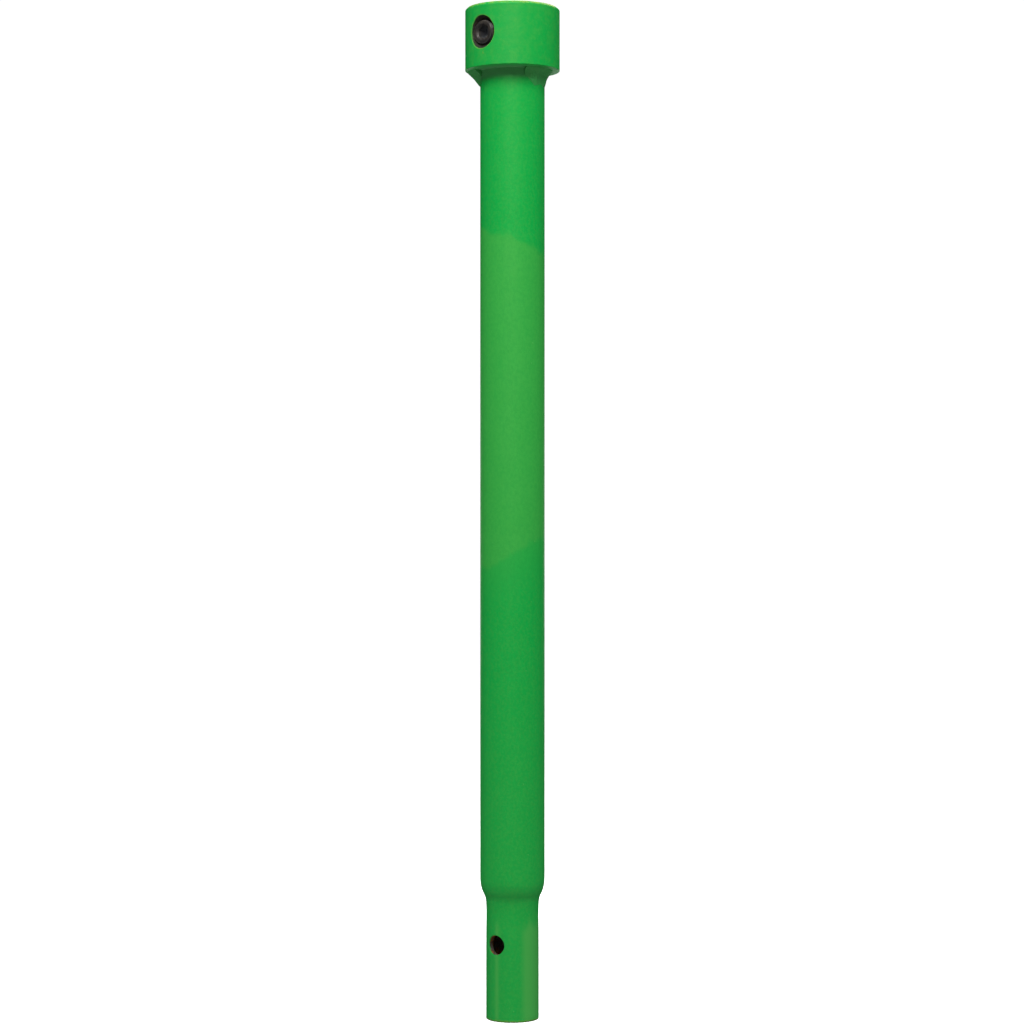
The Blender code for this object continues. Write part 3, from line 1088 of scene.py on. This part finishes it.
# ---- Studio ---------------------------------------------------------------------------
IMAGE_SIZE = 1024
SENSOR_WIDTH = 36.0
CAMERA_BEARING = 40.8  # from -Y towards +X, so that the set screw faces left of the camera
CAMERA_DISTANCE = 1.746
CAMERA_HEIGHT = 0.33113
CAMERA_TURN = 0.00017  # radians that the camera looks left of the object
FOCAL_PIXELS = 2668.6

FLOOR_REACH, FLOOR_BEND, WALL_HEIGHT, FLOOR_COLUMNS = 7.0, 1.5, 7.0, 96

# Bearing from the camera's own and elevation in degrees; distance, width, height; power in
# watts; and the height aimed at.
SOFTBOXES = {
    "key_softbox": (-4, 42, 1.5, 0.9, 0.70, 21.2, 0.60),
    "left_softbox": (-62, 47, 1.5, 0.6, 0.65, 8.7, 0.55),
    "right_softbox": (58, 47, 1.5, 0.6, 0.65, 10.2, 0.55),
    "back_softbox": (166, 46, 1.8, 1.1, 0.9, 18, 0.45),
}
FLOOR_CARD = (0, 0, 0, 2.0, 2.0, 5.6, 0.001)
RIM_CARD = (180, -14, 1.4, 1.6, 0.35, 2.4, 0.615)
WORLD_COLOUR, WORLD_STRENGTH = (0.95, 0.97, 1.0, 1), 0.15


def make_floor():
    """A round white floor that sweeps up into a wall behind the object on every side."""
    flat = FLOOR_REACH - FLOOR_BEND
    line = [(r, 0.0) for r in (0.0, 0.5, 2.0, flat)]
    for a in np.linspace(0, math.pi / 2, 13)[1:]:
        out, up = FLOOR_BEND * math.sin(a), FLOOR_BEND - FLOOR_BEND * math.cos(a)
        line.append((flat + out, up))
    line.append((FLOOR_REACH, WALL_HEIGHT))
    shell = Shell()
    radii, heights = np.array(line).T
    shell.grid(turn(radii * 1000, heights * 1000, FLOOR_COLUMNS))
    n = Nodes("white_floor")
    n.shader.inputs["Base Color"].default_value = (0.75, 0.75, 0.75, 1)
    n.shader.inputs["Roughness"].default_value = 0.9
    n.shader.inputs["Specular IOR Level"].default_value = 0.0
    n.shader.inputs["Emission Color"].default_value = (1, 1, 1, 1)
    n.shader.inputs["Emission Strength"].default_value = 0.9
    floor = shell.build("studio_floor", n.material)
    # It is there to be seen: the card and the lamps light the object.
    floor.visible_diffuse = False
    floor.visible_glossy = False


def area_light(name, bearing, elevation, distance, width, height, power, aim):
    """A soft rectangular lamp, by its bearing from the camera's own, aimed at a height."""
    data = bpy.data.lights.new(name, "AREA")
    data.shape = "RECTANGLE"
    data.size = width
    data.size_y = height
    data.energy = power
    lamp = bpy.data.objects.new(name, data)
    a = math.radians(CAMERA_BEARING + bearing)
    e = math.radians(elevation)
    target = Vector((0, 0, aim))
    back = Vector((math.sin(a) * math.cos(e), -math.cos(a) * math.cos(e), math.sin(e)))
    lamp.location = target + back * distance
    lamp.rotation_mode = "QUATERNION"
    lamp.rotation_quaternion = (-back).to_track_quat("-Z", "Y")
    lamp.visible_camera = False
    bpy.context.scene.collection.objects.link(lamp)
    return lamp


make_floor()
lamps = {name: area_light(name, *setup) for name, setup in SOFTBOXES.items()}
card = area_light("floor_card", *FLOOR_CARD)
card.rotation_quaternion = Vector((0, 0, 1)).to_track_quat("-Z", "Y")
for lamp in (lamps["left_softbox"], lamps["right_softbox"], card):
    lamp.visible_glossy = False
# A low white card behind, which only glances off the underside of the collar.
rim = area_light("rim_card", *RIM_CARD)
rim.visible_diffuse = False

world = bpy.data.worlds.new("studio_world")
bpy.context.scene.world = world
world.use_nodes = True
background = world.node_tree.nodes["Background"]
background.inputs["Color"].default_value = WORLD_COLOUR
background.inputs["Strength"].default_value = WORLD_STRENGTH
world.cycles_visibility.glossy = False

camera_data = bpy.data.cameras.new("camera")
camera_data.sensor_width = SENSOR_WIDTH
camera_data.lens = FOCAL_PIXELS * SENSOR_WIDTH / IMAGE_SIZE
camera = bpy.data.objects.new("camera", camera_data)
bearing = math.radians(CAMERA_BEARING)
camera.location = (
    CAMERA_DISTANCE * math.sin(bearing),
    -CAMERA_DISTANCE * math.cos(bearing),
    CAMERA_HEIGHT,
)
camera.rotation_euler = (math.pi / 2, 0, bearing + CAMERA_TURN)
bpy.context.scene.collection.objects.link(camera)
bpy.context.scene.camera = camera
bpy.context.scene.view_settings.view_transform = "Standard"
